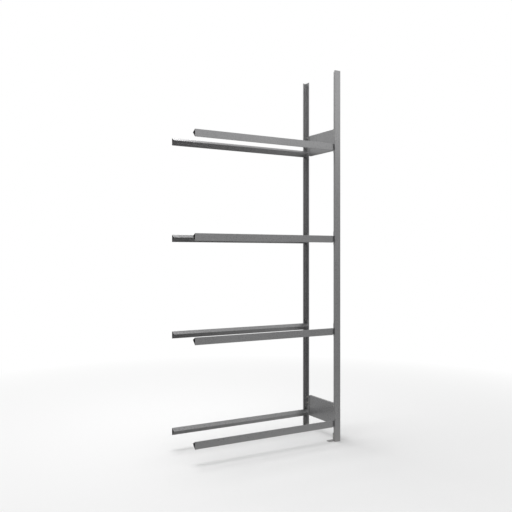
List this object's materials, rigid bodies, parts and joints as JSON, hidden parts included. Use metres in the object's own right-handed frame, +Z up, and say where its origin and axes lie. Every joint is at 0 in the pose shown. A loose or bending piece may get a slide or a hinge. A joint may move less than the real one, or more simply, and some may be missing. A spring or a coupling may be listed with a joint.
{
  "type": "tyre storage rack",
  "caption": "Add-on bay of a tyre storage rack: an end frame of slotted T-posts carries pairs of hollow three-sided beams on which wheels stand upright.",
  "frame": {"origin": "centre of the rack's outline at floor level", "axes": "+X along the beams from their free ends to the end frame, +Y from the front (aisle) row to the rear row, +Z up"},
  "size_m": [1.284, 0.47, 3.012],
  "materials": {
    "galvanised_steel": "galvanised, satin grey",
    "zinc_plate": "bright zinc plated"
  },
  "bodies": {
    "rack": {"post_front": "galvanised_steel", "foot_angle_front": "galvanised_steel", "post_rear": "galvanised_steel", "foot_angle_rear": "galvanised_steel", "beam_front_1": "galvanised_steel", "beam_front_2": "galvanised_steel", "beam_front_3": "galvanised_steel", "beam_front_4": "galvanised_steel", "beam_rear_1": "galvanised_steel", "beam_rear_2": "galvanised_steel", "beam_rear_3": "galvanised_steel", "beam_rear_4": "galvanised_steel", "beam_bracket_front_1": "galvanised_steel", "beam_bracket_front_2": "galvanised_steel", "beam_bracket_front_3": "galvanised_steel", "beam_bracket_front_4": "galvanised_steel", "beam_bracket_rear_1": "galvanised_steel", "beam_bracket_rear_2": "galvanised_steel", "beam_bracket_rear_3": "galvanised_steel", "beam_bracket_rear_4": "galvanised_steel", "brace_plate_bottom": "galvanised_steel", "brace_plate_top": "galvanised_steel", "screws": "zinc_plate", "washers": "zinc_plate", "nuts": "zinc_plate"},
    "locking_pin_front_1": {"locking_pin_front_1": "zinc_plate"},
    "locking_pin_front_2": {"locking_pin_front_2": "zinc_plate"},
    "locking_pin_front_3": {"locking_pin_front_3": "zinc_plate"},
    "locking_pin_front_4": {"locking_pin_front_4": "zinc_plate"},
    "locking_pin_rear_1": {"locking_pin_rear_1": "zinc_plate"},
    "locking_pin_rear_2": {"locking_pin_rear_2": "zinc_plate"},
    "locking_pin_rear_3": {"locking_pin_rear_3": "zinc_plate"},
    "locking_pin_rear_4": {"locking_pin_rear_4": "zinc_plate"}
  },
  "joints": [
    {"name": "pull_pin_front_1", "type": "slide", "parent": "rack", "child": "locking_pin_front_1", "axis": [-1, 0, 0], "range_m": [0, 0.01]},
    {"name": "pull_pin_front_2", "type": "slide", "parent": "rack", "child": "locking_pin_front_2", "axis": [-1, 0, 0], "range_m": [0, 0.01]},
    {"name": "pull_pin_front_3", "type": "slide", "parent": "rack", "child": "locking_pin_front_3", "axis": [-1, 0, 0], "range_m": [0, 0.01]},
    {"name": "pull_pin_front_4", "type": "slide", "parent": "rack", "child": "locking_pin_front_4", "axis": [-1, 0, 0], "range_m": [0, 0.01]},
    {"name": "pull_pin_rear_1", "type": "slide", "parent": "rack", "child": "locking_pin_rear_1", "axis": [-1, 0, 0], "range_m": [0, 0.01]},
    {"name": "pull_pin_rear_2", "type": "slide", "parent": "rack", "child": "locking_pin_rear_2", "axis": [-1, 0, 0], "range_m": [0, 0.01]},
    {"name": "pull_pin_rear_3", "type": "slide", "parent": "rack", "child": "locking_pin_rear_3", "axis": [-1, 0, 0], "range_m": [0, 0.01]},
    {"name": "pull_pin_rear_4", "type": "slide", "parent": "rack", "child": "locking_pin_rear_4", "axis": [-1, 0, 0], "range_m": [0, 0.01]}
  ]
}
